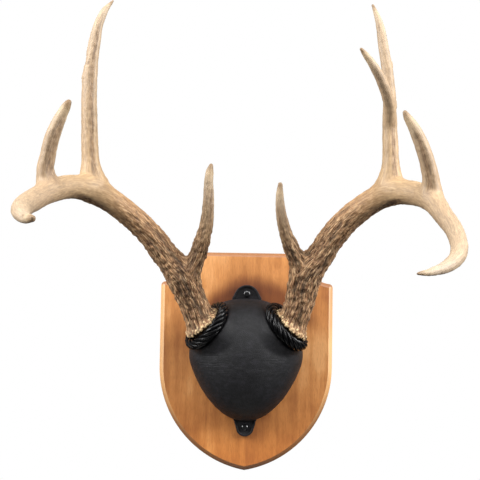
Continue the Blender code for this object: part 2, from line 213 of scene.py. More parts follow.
# Solid cherry, planed, sanded and sealed with a satin lacquer: warm orange brown,
# straight grain up the board, darker growth lines and short fine pores. Real pores
# and streaks are finer, and are drawn as coarse as they need to be to show.
plaque = {
    "width": 0.203,
    "height": 0.255,
    "thickness": 0.019,
    "pointDrop": 0.121,
    "scoopRadius": 0.0355,
    "earRound": 0.005,
    "edgeChamfer": 0.0047,
    "arcSteps": 40,
    "boardTones": [(0.36, "#93592b"), (0.46, "#ab703a"), (0.54, "#bb7f46"),
                   (0.63, "#cd955d")],
    "streakSize": (0.00909, 0.00667, 0.0833),  # across, into and up the board
    "patchSize": 0.0625,
    "lineSpacing": 0.0068,  # between growth lines
    "lineShift": 0.004,
    "lineTones": [(0.0, "#b9b9b9"), (0.08, "#565656"), (0.25, "#8f8f8f"),
                  (0.72, "#a4a4a4"), (1.0, "#b9b9b9")],
    "driftSize": (0.0758, 0.0758, 0.284),
    "drift": 0.055,  # how far the lines wander sideways
    "swirlAt": (0.024, 0.1175),
    "swirlFlatness": 0.8,
    "swirlRadius": 0.030,
    "swirlDepth": 0.020,
    "poreLength": 0.006,
    "poreWidth": 0.0007,
    # painted shadow in a band over the cover's top
    "paintedShadowTone": "#9c8060",
    "paintedShadowAt": (0.009, 0.002),
    "paintedShadowHalf": (0.070, 0.078),  # half the width and height of the cover's top
    "paintedShadowReach": (1.33, 1.06),  # in shares of that, from clear wood to the darkest
    "paintedShadowHeights": (0.030, 0.058),
    "lowTone": "#f6e3bf",
    "lowHeights": (0.0, -0.110),
    # painted highlight on the long side edges, where the side lights fall
    "sideHighlightTone": "#cda873",
    "endTone": "#7a4e2c",
}


# Growth lines up the board, drifting slowly, with one swirl of figure in them to the
# right of the upper lug.
def addGrowthLines(tree, place, across):
    driftGrid = addNode(tree, "ShaderNodeMapping", {"Scale": perSize(plaque["driftSize"])},
                        {"Vector": place})
    wander = addNode(tree, "ShaderNodeTexNoise", {"Scale": 1.0, "Detail": 3.0,
                                                  "Roughness": 0.55},
                     {"Vector": driftGrid.outputs["Vector"]})
    shift = addNode(tree, "ShaderNodeMath", {1: plaque["drift"], 2: plaque["lineShift"]},
                    {0: wander.outputs["Fac"]}, operation="MULTIPLY_ADD")
    shifted = addNode(tree, "ShaderNodeMath", None, {0: across, 1: shift.outputs["Value"]},
                      operation="ADD")
    right, up = plaque["swirlAt"]
    flatness = plaque["swirlFlatness"]
    knot = addNode(tree, "ShaderNodeMapping", {"Location": (-right, 0.0, -up * flatness),
                                               "Scale": (1.0, 0.2, flatness)},
                   {"Vector": place})
    knotSpread = addNode(tree, "ShaderNodeVectorMath", None, {0: knot.outputs["Vector"]},
                         operation="LENGTH")
    swirl = addNode(tree, "ShaderNodeMapRange", {"From Min": plaque["swirlRadius"],
                                                 "From Max": 0.0,
                                                 "To Max": plaque["swirlDepth"]},
                    {"Value": knotSpread.outputs["Value"]}, interpolation_type="SMOOTHSTEP")
    figured = addNode(tree, "ShaderNodeMath", None,
                      {0: shifted.outputs["Value"], 1: swirl.outputs["Result"]},
                      operation="ADD")
    beat = addNode(tree, "ShaderNodeMath", {1: 1 / plaque["lineSpacing"]},
                   {0: figured.outputs["Value"]}, operation="MULTIPLY")
    line = addNode(tree, "ShaderNodeMath", None, {0: beat.outputs["Value"]}, operation="FRACT")
    lineTone = addNode(tree, "ShaderNodeValToRGB", None, {"Fac": line.outputs["Value"]})
    setStops(lineTone, plaque["lineTones"])
    return lineTone.outputs["Color"]


# Broad streaks and patches of colour, with the growth lines laid over them.
def addBoardColour(tree, place, lines):
    streakGrid = addNode(tree, "ShaderNodeMapping", {"Scale": perSize(plaque["streakSize"])},
                         {"Vector": place})
    streaks = addNode(tree, "ShaderNodeTexNoise", {"Scale": 1.0, "Detail": 4.0,
                                                   "Roughness": 0.6},
                      {"Vector": streakGrid.outputs["Vector"]})
    patches = addNode(tree, "ShaderNodeTexNoise", {"Scale": 1 / plaque["patchSize"],
                                                   "Detail": 3.0},
                      {"Vector": place})
    streakMix = addNode(tree, "ShaderNodeMix", {"Factor": 0.62},
                        {"A": streaks.outputs["Fac"], "B": patches.outputs["Fac"]})
    base = addNode(tree, "ShaderNodeValToRGB", None, {"Fac": streakMix.outputs["Result"]})
    setStops(base, plaque["boardTones"])
    lined = addNode(tree, "ShaderNodeMix", {"Factor": 0.17},
                    {"A": base.outputs["Color"], "B": lines},
                    data_type="RGBA", blend_type="SOFT_LIGHT")
    return lined.outputs["Result"]


def addPores(tree, place):
    width = plaque["poreWidth"]
    poreGrid = addNode(tree, "ShaderNodeMapping",
                       {"Scale": perSize((width, width, plaque["poreLength"]))},
                       {"Vector": place})
    pores = addNode(tree, "ShaderNodeTexNoise", {"Scale": 1.0, "Detail": 2.0,
                                                 "Roughness": 0.6},
                    {"Vector": poreGrid.outputs["Vector"]})
    tone = addNode(tree, "ShaderNodeMapRange", {"From Min": 0.34, "From Max": 0.5,
                                                "To Min": 0.80, "To Max": 1.0},
                   {"Value": pores.outputs["Fac"]})
    return tone.outputs["Result"]


# The board is painted darker in a band over the cover's top, a painted shadow, most likely where
# the cover and antlers shade it, and it is darker and warmer in its lower half. Both are set by
# place, so they show on the board's back as well.
def addBoardShading(tree, place, height, colour):
    right, up = plaque["paintedShadowAt"]
    half, tall = plaque["paintedShadowHalf"]
    dome = addNode(tree, "ShaderNodeMapping", {"Location": (-right / half, 0.0, -up / tall),
                                               "Scale": (1 / half, 0.0, 1 / tall)},
                   {"Vector": place})
    domeSpread = addNode(tree, "ShaderNodeVectorMath", None, {0: dome.outputs["Vector"]},
                         operation="LENGTH")
    clear, darkest = plaque["paintedShadowReach"]
    ring = addNode(tree, "ShaderNodeMapRange", {"From Min": clear, "From Max": darkest},
                   {"Value": domeSpread.outputs["Value"]}, interpolation_type="SMOOTHSTEP")
    low, high = plaque["paintedShadowHeights"]
    upper = addNode(tree, "ShaderNodeMapRange", {"From Min": low, "From Max": high},
                    {"Value": height}, interpolation_type="SMOOTHSTEP")
    # the painted shadow's strength at each place
    paintedShadowMask = addNode(tree, "ShaderNodeMath", None,
                   {0: ring.outputs["Result"], 1: upper.outputs["Result"]},
                   operation="MULTIPLY")
    paintedShadowMix = addNode(tree, "ShaderNodeMix", {"B": toLinear(plaque["paintedShadowTone"])},
                     {"Factor": paintedShadowMask.outputs["Value"], "A": colour},
                     data_type="RGBA", blend_type="MULTIPLY")
    start, end = plaque["lowHeights"]
    lowness = addNode(tree, "ShaderNodeMapRange", {"From Min": start, "From Max": end},
                      {"Value": height})
    warmed = addNode(tree, "ShaderNodeMix", {"B": toLinear(plaque["lowTone"])},
                     {"Factor": lowness.outputs["Result"], "A": paintedShadowMix.outputs["Result"]},
                     data_type="RGBA", blend_type="MULTIPLY")
    return warmed.outputs["Result"]


# The long edges at the sides are painted paler than the face, a painted highlight where the side
# lights fall on them. End grain, at the top edge and round the point, drinks more finish and is
# darker.
def addBoardEdges(tree, colour):
    surface = addNode(tree, "ShaderNodeNewGeometry")
    facing = addNode(tree, "ShaderNodeSeparateXYZ", None, {"Vector": surface.outputs["Normal"]})
    for axis, start, end, most, tone in (("X", 0.15, 0.50, 0.45, plaque["sideHighlightTone"]),
                                         ("Z", 0.08, 0.42, 0.85, plaque["endTone"])):
        turned = addNode(tree, "ShaderNodeMath", None, {0: facing.outputs[axis]},
                         operation="ABSOLUTE")
        share = addNode(tree, "ShaderNodeMapRange", {"From Min": start, "From Max": end,
                                                     "To Max": most},
                        {"Value": turned.outputs["Value"]})
        edged = addNode(tree, "ShaderNodeMix", {"B": toLinear(tone)},
                        {"Factor": share.outputs["Result"], "A": colour}, data_type="RGBA")
        colour = edged.outputs["Result"]
    return colour


def makeWood():
    material, tree, shader = newMaterial("lacquered cherry")
    place = addNode(tree, "ShaderNodeTexCoord").outputs["Object"]
    parts = addNode(tree, "ShaderNodeSeparateXYZ", None, {"Vector": place})
    lines = addGrowthLines(tree, place, parts.outputs["X"])
    board = addBoardColour(tree, place, lines)
    pores = addPores(tree, place)
    pored = addNode(tree, "ShaderNodeMix", {"Factor": 1.0}, {"A": board, "B": pores},
                    data_type="RGBA", blend_type="MULTIPLY")
    shaded = addBoardShading(tree, place, parts.outputs["Z"], pored.outputs["Result"])
    bump = addNode(tree, "ShaderNodeBump", {"Strength": 0.15, "Distance": 0.0002},
                   {"Height": pores})
    tree.links.new(addBoardEdges(tree, shaded), shader.inputs["Base Color"])
    tree.links.new(bump.outputs["Normal"], shader.inputs["Normal"])
    shader.inputs["Roughness"].default_value = 0.50
    shader.inputs["IOR"].default_value = 1.5
    shader.inputs["Coat Weight"].default_value = 0.12
    shader.inputs["Coat Roughness"].default_value = 0.3
    return material


def makePlaque():
    half = plaque["width"] / 2
    top = plaque["height"] / 2
    drop = plaque["pointDrop"]
    scoop = plaque["scoopRadius"]
    ear = plaque["earRound"]
    steps = plaque["arcSteps"]
    radius = (half ** 2 + drop ** 2) / (2 * half)
    sweep = math.degrees(math.asin(drop / radius))
    short = math.degrees(math.asin(ear / scoop))
    earTop = top - math.sqrt(scoop ** 2 - ear ** 2)
    outline = arcPoints((half - radius, drop - top), radius, -sweep, 0, steps)
    outline += arcPoints((half - ear, earTop - ear), ear, 0, 90, 8)
    outline += arcPoints((half, top), scoop, -90 - short, -180, steps)[1:]
    bm = bmesh.new()
    rim = [bm.verts.new((x, 0, z)) for x, z in outline]
    rim += [bm.verts.new((-x, 0, z)) for x, z in reversed(outline[1:])]
    extrudeBy(bm, [bm.faces.new(rim)], (0, -plaque["thickness"], 0))
    bmesh.ops.recalc_face_normals(bm, faces=bm.faces)
    edges = [edge for edge in bm.edges
             if all(vert.co.y < -plaque["thickness"] / 2 for vert in edge.verts)]
    bmesh.ops.bevel(bm, geom=edges, offset=plaque["edgeChamfer"], segments=6, profile=0.34,
                    affect="EDGES", material=-1)
    mesh = meshFrom("plaque", bm)
    mesh.set_sharp_from_angle(angle=math.radians(18))
    for face in mesh.polygons:
        if len(face.vertices) > 8:
            face.use_smooth = False
    piece = objectFrom("shieldBoard", mesh)
    finishPiece(piece, makeWood(), "plaque")


makePlaque()
print("shield made")


# Vacuum-moulded ABS with a leather grain in its surface: soft black, low sheen,
# pebbles, and faint creases across its middle. The pebbles are drawn coarser than
# real ones, which are too fine to show.
cover = {
    "wood": 0.0193,  # front of the wood, from the wall
    "width": 0.134,
    "rise": 0.069,
    "drop": 0.0745,
    "bulge": 0.062,
    "centreUp": 0.004,
    "crownPower": 0.86,
    "topPower": 2.3,
    "taperPower": 1.3,
    "neckLength": 0.040,
    "neckFlare": 0.011,
    "neckRadius": 0.0300,
    "neckGap": 0.0003,  # between a neck's top and its cord
    "voxel": 0.0010,
    "smoothing": 24,
    "tones": [(0.32, "#0d0d0f"), (0.50, "#151517"), (0.68, "#201f23")],
    "scuffSize": (0.00769, 0.00667, 0.00435),
    "pebble": 0.0017,
    "creaseSize": (0.0222, 0.0111, 0.001613),
    "creaseHeight": -0.004,
    "creaseSpread": (0.006, 0.030),  # above and below that, from strong to faint
    "lugThickness": 0.0032,
    "lugTip": 0.0105,  # from the screw to the lug's end
    "lugRound": 0.0005,
    "rimWidth": 0.0022,
    "rimHeight": 0.0012,
    "buried": 0.020,
    "shoulder": 28.0,  # degrees up a lug's round end where its flare starts
    # a lug's root is its width where it meets the dome, and its reach runs from its
    # tip to there
    "upperLug": {"radius": 0.0148, "root": 0.0345, "reach": 0.0157, "screw": 0.0785},
    "lowerLug": {"radius": 0.0105, "root": 0.0265, "reach": 0.0192, "screw": -0.0775},
}

# The feet of the antlers and the cord rings round them. The viewer's left is first.
feet = {
    "out": 0.0525,
    "forward": 0.058,
    "up": 0.043,
    "leans": ((-0.643, -0.31, 0.70), (0.690, -0.28, 0.667)),
    "cordLeans": ((-0.729, -0.36, 0.583), (0.719, -0.36, 0.594)),
}

cords = {
    "radius": 0.0066,
    "ringRadius": 0.0269,
    "drop": 0.00755,  # ring's centre under the burr's centre
    "slack": 0.0028,
    "plies": 6,
    "loops": 3,  # times that a ply goes round the ring before it meets itself again
    "lay": 20 / 6,  # turns of each ply round the cord in one loop
    "plyRadius": 0.0021,
    "points": 360,
    "black": "#050506",
    "threadBands": 3.0,
    "threadTurn": 20.0,  # degrees across the ply
}


def footCentre(side):
    return Vector((side * feet["out"], -feet["forward"], feet["up"]))


def footLean(side, key="leans"):
    return Vector(feet[key][0 if side < 0 else 1]).normalized()


def cordCentre(side):
    antler = footLean(side)
    ring = footLean(side, "cordLeans")
    slack = (antler * ring.dot(antler) - ring).normalized()
    return footCentre(side) - antler * cords["drop"] + slack * cords["slack"]


def makeMoulding():
    material, tree, shader = newMaterial("leather-grained black ABS")
    place = addNode(tree, "ShaderNodeTexCoord").outputs["Object"]
    pebbles = addNode(tree, "ShaderNodeTexVoronoi", {"Scale": 1 / cover["pebble"]},
                      {"Vector": place}, feature="DISTANCE_TO_EDGE")
    pits = addNode(tree, "ShaderNodeMapRange", {"From Min": 0.0, "From Max": 0.22},
                   {"Value": pebbles.outputs["Distance"]})
    creaseGrid = addNode(tree, "ShaderNodeMapping", {"Scale": perSize(cover["creaseSize"])},
                         {"Vector": place})
    creases = addNode(tree, "ShaderNodeTexNoise",
                      {"Scale": 1.0, "Detail": 3.0, "Roughness": 0.6, "Distortion": 0.6},
                      {"Vector": creaseGrid.outputs["Vector"]})
    creaseLine = addNode(tree, "ShaderNodeMapRange", {"From Min": 0.33, "From Max": 0.46},
                         {"Value": creases.outputs["Fac"]})
    parts = addNode(tree, "ShaderNodeSeparateXYZ", None, {"Vector": place})
    height = addNode(tree, "ShaderNodeMath", {1: cover["creaseHeight"]},
                     {0: parts.outputs["Z"]}, operation="SUBTRACT")
    off = addNode(tree, "ShaderNodeMath", None, {0: height.outputs["Value"]},
                  operation="ABSOLUTE")
    strong, faint = cover["creaseSpread"]
    middle = addNode(tree, "ShaderNodeMapRange", {"From Min": strong, "From Max": faint,
                                                  "To Min": 1.0, "To Max": 0.15},
                     {"Value": off.outputs["Value"]})
    creased = addNode(tree, "ShaderNodeMath", None,
                      {0: creaseLine.outputs["Result"], 1: middle.outputs["Result"]},
                      operation="MULTIPLY")
    relief = addNode(tree, "ShaderNodeMath", {1: 0.55},
                     {0: pits.outputs["Result"], 2: creased.outputs["Value"]},
                     operation="MULTIPLY_ADD")
    bump = addNode(tree, "ShaderNodeBump", {"Strength": 0.6, "Distance": 0.00025},
                   {"Height": relief.outputs["Value"]})
    scuffs = addNode(tree, "ShaderNodeMapping", {"Scale": perSize(cover["scuffSize"])},
                     {"Vector": place})
    mottle = addNode(tree, "ShaderNodeTexNoise", {"Scale": 1.0, "Detail": 6.0,
                                                  "Roughness": 0.7},
                     {"Vector": scuffs.outputs["Vector"]})
    tone = addNode(tree, "ShaderNodeValToRGB", None, {"Fac": mottle.outputs["Fac"]})
    setStops(tone, cover["tones"])
    tree.links.new(tone.outputs["Color"], shader.inputs["Base Color"])
    tree.links.new(bump.outputs["Normal"], shader.inputs["Normal"])
    shader.inputs["Roughness"].default_value = 0.56
    shader.inputs["IOR"].default_value = 1.53
    shader.inputs["Specular IOR Level"].default_value = 0.22
    return material


# Distance from the dome's middle to its outline, along a unit direction.
def coverReach(across, along):
    half = cover["width"] / 2
    if along >= 0:
        power = cover["topPower"]
        total = (abs(across) / half) ** power + (along / cover["rise"]) ** power
        return total ** (-1 / power)
    low, high = 0.0, half + cover["drop"]
    for _ in range(30):
        middle = (low + high) / 2
        width = abs(across) * middle / half
        down = -along * middle / cover["drop"]
        if width ** 2 + down ** cover["taperPower"] < 1:
            low = middle
        else:
            high = middle
    return low


def makeDome():
    bm = bmesh.new()
    bmesh.ops.create_uvsphere(bm, u_segments=96, v_segments=48, radius=1.0)
    bmesh.ops.rotate(bm, verts=bm.verts, cent=(0, 0, 0),
                     matrix=Matrix.Rotation(math.radians(90), 3, "X"))
    everything = bm.verts[:] + bm.edges[:] + bm.faces[:]
    bmesh.ops.bisect_plane(bm, geom=everything, plane_co=(0, 0, 0), plane_no=(0, 1, 0),
                           clear_outer=True)
    for vert in bm.verts:
        spread = math.hypot(vert.co.x, vert.co.z)
        height = abs(vert.co.y) ** cover["crownPower"]
        reach = coverReach(vert.co.x / spread, vert.co.z / spread) if spread > 1e-6 else 0.0
        vert.co = (vert.co.x * reach, -cover["wood"] - cover["bulge"] * height,
                   cover["centreUp"] + vert.co.z * reach)
    return bm


# The dome with a neck under each cord, cut flat at the wood and at the necks' tops.
def makeCoverShell():
    bm = makeDome()
    length = cover["neckLength"]
    seats = []
    for side in (-1, 1):
        axis = footLean(side, "cordLeans")
        top = cordCentre(side) - axis * (cords["radius"] + cover["neckGap"])
        seats.append((top, axis))
        neck = bmesh.ops.create_cone(bm, cap_ends=True, segments=72, depth=length,
                                     radius1=cover["neckRadius"] + cover["neckFlare"],
                                     radius2=cover["neckRadius"])["verts"]
        bmesh.ops.translate(bm, verts=neck, vec=(0, 0, -length / 2))
        bmesh.ops.transform(bm, matrix=Matrix.Translation(top) @ turnTo(axis), verts=neck)
    wood = (Vector((0, -cover["wood"], 0)), Vector((0, 1, 0)))
    for spot, normal in [wood] + seats:
        everything = bm.verts[:] + bm.edges[:] + bm.faces[:]
        bmesh.ops.bisect_plane(bm, geom=everything, plane_co=spot, plane_no=normal,
                               clear_outer=True)
        bmesh.ops.holes_fill(bm, edges=[edge for edge in bm.edges if edge.is_boundary])
    bm = remeshed(bm, cover["voxel"])
    back = -cover["wood"] - 0.5 * cover["voxel"]
    soften(bm, [vert for vert in bm.verts if vert.co.y < back], cover["smoothing"], 0.5)
    return bm


# A lug: a flared tab with a raised rim round its sunk face.
def addLug(bm, shape):
    sign = 1 if shape["screw"] > 0 else -1
    tip = shape["screw"] + sign * cover["lugTip"]
    root = tip - sign * shape["reach"]
    inner = root - sign * cover["buried"]
    half = shape["root"] / 2
    outline = [(half, inner), (half, root)]
    outline += arcPoints((0, tip - sign * shape["radius"]), shape["radius"],
                         cover["shoulder"] * sign, (180 - cover["shoulder"]) * sign, 24)
    outline += [(-half, root), (-half, inner)]
    lug = bmesh.new()
    flat = lug.faces.new([lug.verts.new((x, -cover["wood"], z)) for x, z in outline])
    extrudeBy(lug, [flat], (0, -cover["lugThickness"] - cover["rimHeight"], 0))
    bmesh.ops.recalc_face_normals(lug, faces=lug.faces)
    front = [face for face in lug.faces if face.normal.y < -0.9]
    bmesh.ops.inset_region(lug, faces=front, thickness=cover["rimWidth"], use_even_offset=True)
    extrudeBy(lug, front, (0, cover["rimHeight"], 0))
    bmesh.ops.delete(lug, geom=front, context="FACES")
    bmesh.ops.recalc_face_normals(lug, faces=lug.faces)
    crisp = [edge for edge in lug.edges if edge.calc_face_angle(0) > math.radians(40)
             and all(vert.co.y < -cover["wood"] - 0.001 for vert in edge.verts)]
    bmesh.ops.bevel(lug, geom=crisp, offset=cover["lugRound"], segments=3, profile=0.5,
                    affect="EDGES", material=-1)
    addMesh(bm, meshFrom("lug", lug))


def makeCover():
    bm = makeCoverShell()
    addLug(bm, cover["upperLug"])
    addLug(bm, cover["lowerLug"])
    mesh = meshFrom("cover", bm)
    mesh.set_sharp_from_angle(angle=math.radians(50))
    finishPiece(objectFrom("skullCoverShell", mesh), makeMoulding(),
                "skull_cover")


makeCover()
print("cover made")


# Steel pan-head screws, electroplated black: dark and shiny, with a cross recess.
screws = {
    "headRadius": 0.0042,
    "headHeight": 0.0026,
    "shankRadius": 0.0021,
    "shankLength": 0.018,
    "pointLength": 0.004,
    "crossWidth": 0.0009,
    "crossLength": 0.0040,
    "crossDepth": 0.0013,
    "crossTurn": 20.0,  # degrees
    "black": "#1b1b1d",
    "wearSize": 0.00111,
}


def makeScrewFinish():
    material, tree, shader = newMaterial("black-plated steel")
    place = addNode(tree, "ShaderNodeTexCoord")
    wear = addNode(tree, "ShaderNodeTexNoise", {"Scale": 1 / screws["wearSize"],
                                                "Detail": 3.0},
                   {"Vector": place.outputs["Object"]})
    gloss = addNode(tree, "ShaderNodeMapRange", {"To Min": 0.16, "To Max": 0.30},
                    {"Value": wear.outputs["Fac"]})
    tree.links.new(gloss.outputs["Result"], shader.inputs["Roughness"])
    shader.inputs["Base Color"].default_value = toLinear(screws["black"])
    shader.inputs["Metallic"].default_value = 0.35
    shader.inputs["Coat Weight"].default_value = 0.6
    shader.inputs["Coat Roughness"].default_value = 0.12
    return material


def makeScrew(name, node, height, material):
    radius = screws["headRadius"]
    rise = screws["headHeight"]
    shank = screws["shankRadius"]
    length = screws["shankLength"]
    seat = -(cover["wood"] + cover["lugThickness"])
    profile = [(0, rise), (0.45 * radius, 0.97 * rise), (0.78 * radius, 0.80 * rise),
               (0.95 * radius, 0.48 * rise), (radius, 0.12 * rise), (0.97 * radius, 0.0),
               (shank, 0.0), (shank, screws["pointLength"] - length), (0, -length)]
    bm = bmesh.new()
    spinProfile(bm, profile, 40)
    bmesh.ops.recalc_face_normals(bm, faces=bm.faces)
    body = objectFrom("body", meshFrom("body", bm))
    blades = []
    for turn in (0, 90):
        cutter = bmesh.new()
        size = Matrix.Diagonal((screws["crossLength"], screws["crossWidth"],
                                2 * screws["crossDepth"], 1))
        spin = Matrix.Rotation(math.radians(turn + screws["crossTurn"]), 4, "Z")
        bmesh.ops.create_cube(cutter, size=1.0,
                              matrix=Matrix.Translation((0, 0, rise)) @ spin @ size)
        blades.append(objectFrom("blade", meshFrom("blade", cutter, False)))
        cut = body.modifiers.new("cross", "BOOLEAN")
        cut.operation = "DIFFERENCE"
        cut.solver = "EXACT"
        cut.object = blades[-1]
    mesh = bakedMesh(body)
    for blade in blades:
        bpy.data.objects.remove(blade, do_unlink=True)
    mesh.transform(Matrix.Translation((0, seat, height)) @ turnTo((0, -1, 0)))
    mesh.set_sharp_from_angle(angle=math.radians(35))
    finishPiece(objectFrom(name, mesh), material, node)


screwFinish = makeScrewFinish()
makeScrew("upperScrewHead", "upper_screw", cover["upperLug"]["screw"], screwFinish)
makeScrew("lowerScrewHead", "lower_screw", cover["lowerLug"]["screw"], screwFinish)
print("screws made")


# Rayon satin cord, six plies laid round each other: deep black with a silky shine
# along the threads of each ply, which are drawn coarser than real ones.
def makeSatin():
    material, tree, shader = newMaterial("black rayon satin cord")
    place = addNode(tree, "ShaderNodeUVMap", uv_map="UVMap")
    threads = addNode(tree, "ShaderNodeMapping",
                      {"Rotation": (0, 0, math.radians(cords["threadTurn"]))},
                      {"Vector": place.outputs["UV"]})
    wave = addNode(tree, "ShaderNodeTexWave",
                   {"Scale": cords["threadBands"], "Distortion": 0.6, "Detail": 1.0,
                    "Detail Scale": 2.0},
                   {"Vector": threads.outputs["Vector"]}, bands_direction="Y")
    bump = addNode(tree, "ShaderNodeBump", {"Strength": 0.5, "Distance": 0.0002},
                   {"Height": wave.outputs["Fac"]})
    tree.links.new(bump.outputs["Normal"], shader.inputs["Normal"])
    shader.inputs["Base Color"].default_value = toLinear(cords["black"])
    shader.inputs["Roughness"].default_value = 0.25
    shader.inputs["IOR"].default_value = 1.47
    shader.inputs["Anisotropic"].default_value = 0.4
    shader.inputs["Specular IOR Level"].default_value = 0.20
    return material


def makeCord(name, node, side, material):
    points = cords["points"]
    around = cords["radius"] - cords["plyRadius"]
    curve = bpy.data.curves.new(name, "CURVE")
    curve.dimensions = "3D"
    curve.bevel_depth = cords["plyRadius"]
    curve.bevel_resolution = 4
    curve.twist_mode = "MINIMUM"
    for start in range(cords["plies"] // cords["loops"]):
        spline = curve.splines.new("POLY")
        spline.points.add(points - 1)
        spline.use_cyclic_u = True
        for index, point in enumerate(spline.points):
            turn = 2 * math.pi * cords["loops"] * index / points
            angle = 2 * math.pi * start / cords["plies"] - turn * cords["lay"]
            out = cords["ringRadius"] + around * math.cos(angle)
            point.co = (out * math.cos(turn), out * math.sin(turn),
                        around * math.sin(angle), 1)
    mesh = bakedMesh(objectFrom("strand", curve))
    mesh.transform(Matrix.Translation(cordCentre(side)) @ turnTo(footLean(side, "cordLeans")))
    for face in mesh.polygons:
        face.use_smooth = True
    finishPiece(objectFrom(name, mesh), material, node)


satin = makeSatin()
makeCord("leftCord", "left_rope", -1, satin)
makeCord("rightCord", "right_rope", 1, satin)
print("cords made")


# Antler is bone: brown and bark-like near the burr, paler and smoother up the beams,
# and worn to ivory at the tips. The burr is a ring of pale pearls. The fine streaks
# in it are drawn coarser than real ones, which are too fine to show.
antlers = {
    "beamRadius": 0.0165,
    "stubRadius": 0.0170,
    "stubLength": 0.0342,
    "burrRadius": 0.0222,
    "burrBelow": 0.0028,
    "burrAbove": 0.0040,
    "pearls": 57,
    "pearlRadius": 0.0019,
    # rows of pearls: how far in from the rim, size as a share, height
    "pearlRows": [(0.0002, 1.0, -0.0010), (0.0014, 0.85, 0.0012), (0.0030, 0.6, 0.0034)],
    "pearlOrder": (0, 1, 0, 2),
    "pearlSeed": 1,  # how they are scattered, the same each time
    "roughVoxel": 0.0018,
    "voxel": 0.00105,
    "smoothing": 10,
    "forkSmoothing": 7,
    "forkWidth": 0.009,
    "curveSteps": 12,
    "blendWidth": 0.003,  # how softly one stem's bark gives way to the next one's
    "grooveWidth": 0.0027,
    "grooveStretch": 6.0,
    "barkDepth": 0.0015,
    "barkStart": 0.095,  # from the burr, where the bark begins to fade
    "barkEnd": 0.215,
    "paleAt": 0.50,  # from the burr, where the bone is palest
    "tipLength": 0.035,
    "ageTones": [(0.0, "#875c3b"), (0.25, "#93693f"), (0.45, "#9c8362"), (0.65, "#948068"),
                 (0.82, "#9d8b74"), (1.0, "#b0a292")],
    # painted shade in the flat and hollow faces and under the burr, and the knobs' dark marks
    "shadeAndStainTone": "#493118",
    "streakWidth": 0.0015,
    "streakStretch": 7.5,
    "streakTones": [(0.37, "#3c2515"), (0.45, "#775439"), (0.53, "#a27f5a"),
                    (0.64, "#cbac85")],
    "ridgeWidth": 0.0022,
    "ridgeSway": 0.0030,
    "swaySize": 0.00303,
    "seamTone": "#3b2614",
    "tipTones": [(0.0, "#9f8f78"), (0.80, "#a48e6e"), (1.0, "#6f5535")],
    "pearlTone": "#cfb488",
}

# Stations are shares: out of the reach, forward of the sweep, up of the rise,
# and the radius as a share of the beam's radius above the burr.
leftAntler = {
    "side": -1,
    "reach": 0.179,
    "sweep": 0.310,
    "rise": 0.140,
    "beam": [
        (0.00, 0.00, 0.00, 1.04), (0.06, 0.03, 0.18, 1.00), (0.124, 0.065, 0.358, 1.14),
        (0.226, 0.09, 0.523, 0.98), (0.341, 0.125, 0.703, 0.91), (0.496, 0.175, 0.874, 0.89),
        (0.642, 0.265, 0.981, 0.92), (0.775, 0.375, 1.003, 0.83), (0.88, 0.495, 0.935, 0.75),
        (0.953, 0.62, 0.834, 0.73), (0.982, 0.73, 0.758, 0.67), (0.963, 0.84, 0.695, 0.56),
        (0.917, 0.925, 0.637, 0.37), (0.853, 1.00, 0.615, 0.22)],
    # a tine is the stem that it leaves, the station there, its length straight up,
    # and stations as shares of that length
    "tines": [
        (0, 2, 0.124, [
            (-0.02, 0.0, -0.05, 0.80), (-0.138, 0.11, 0.185, 0.62), (-0.181, 0.18, 0.32, 0.57),
            (-0.224, 0.24, 0.50, 0.46), (-0.237, 0.29, 0.695, 0.40),
            (-0.242, 0.33, 0.93, 0.31), (-0.262, 0.34, 1.02, 0.16)]),
        (0, 6, 0.217, [
            (0.0, 0.0, 0.0, 0.82), (0.028, 0.03, 0.10, 0.72), (0.038, 0.035, 0.185, 0.60),
            (0.046, 0.045, 0.365, 0.56), (0.05, 0.045, 0.55, 0.53), (0.032, 0.04, 0.765, 0.43),
            (-0.005, 0.02, 0.925, 0.30), (-0.06, -0.005, 1.01, 0.11)]),
        (0, 8, 0.095, [
            (0.0, 0.0, 0.0, 0.67), (0.056, 0.065, 0.20, 0.59), (0.026, 0.115, 0.39, 0.53),
            (-0.028, 0.17, 0.60, 0.505), (-0.095, 0.20, 0.76, 0.44),
            (-0.18, 0.23, 0.925, 0.31), (-0.22, 0.24, 0.995, 0.18)]),
    ],
    "fillets": [0.010, 0.018, 0.014],  # how far each tine's flare spreads from its fork
    # a knob or stain is its stem, where along it and at what angle it lies, its length as a
    # share of the stem, its width in degrees, its height and how dark it is. The dark marks are
    # stains, except the long one down the G3 tine, which is painted shade in its hollow.
    "knobs": [
        (2, 0.575, 95, 0.025, 50, 0.0012, 0.0), (2, 0.655, 95, 0.030, 60, -0.0014, 0.0),
        (2, 0.64, 20, 0.008, 20, -0.0004, 0.8), (2, 0.62, 95, 0.012, 70, 0.0004, 0.0),
        (3, 0.45, -10, 0.28, 26, 0.0, 0.45), (3, 0.97, 0, 0.07, 70, 0.0, 0.7),
        (0, 0.955, 10, 0.008, 26, -0.0012, 1.0)],
    # a face is its stem, the angle it looks at (0 forwards, 90 out or down), half its
    # width in degrees, where it starts and ends along the stem, and its hollow
    "faces": [
        # the faces are painted darker too, a painted shade
        (0, 80, 37, 0.10, 0.60, 0.0017), (1, -34, 22, 0.05, 0.85, 0.0008),
        (1, 30, 18, 0.10, 0.75, 0.0007), (2, -22, 20, 0.02, 0.90, 0.0005),
        (3, -48, 40, 0.02, 1.00, 0.0008)],
}

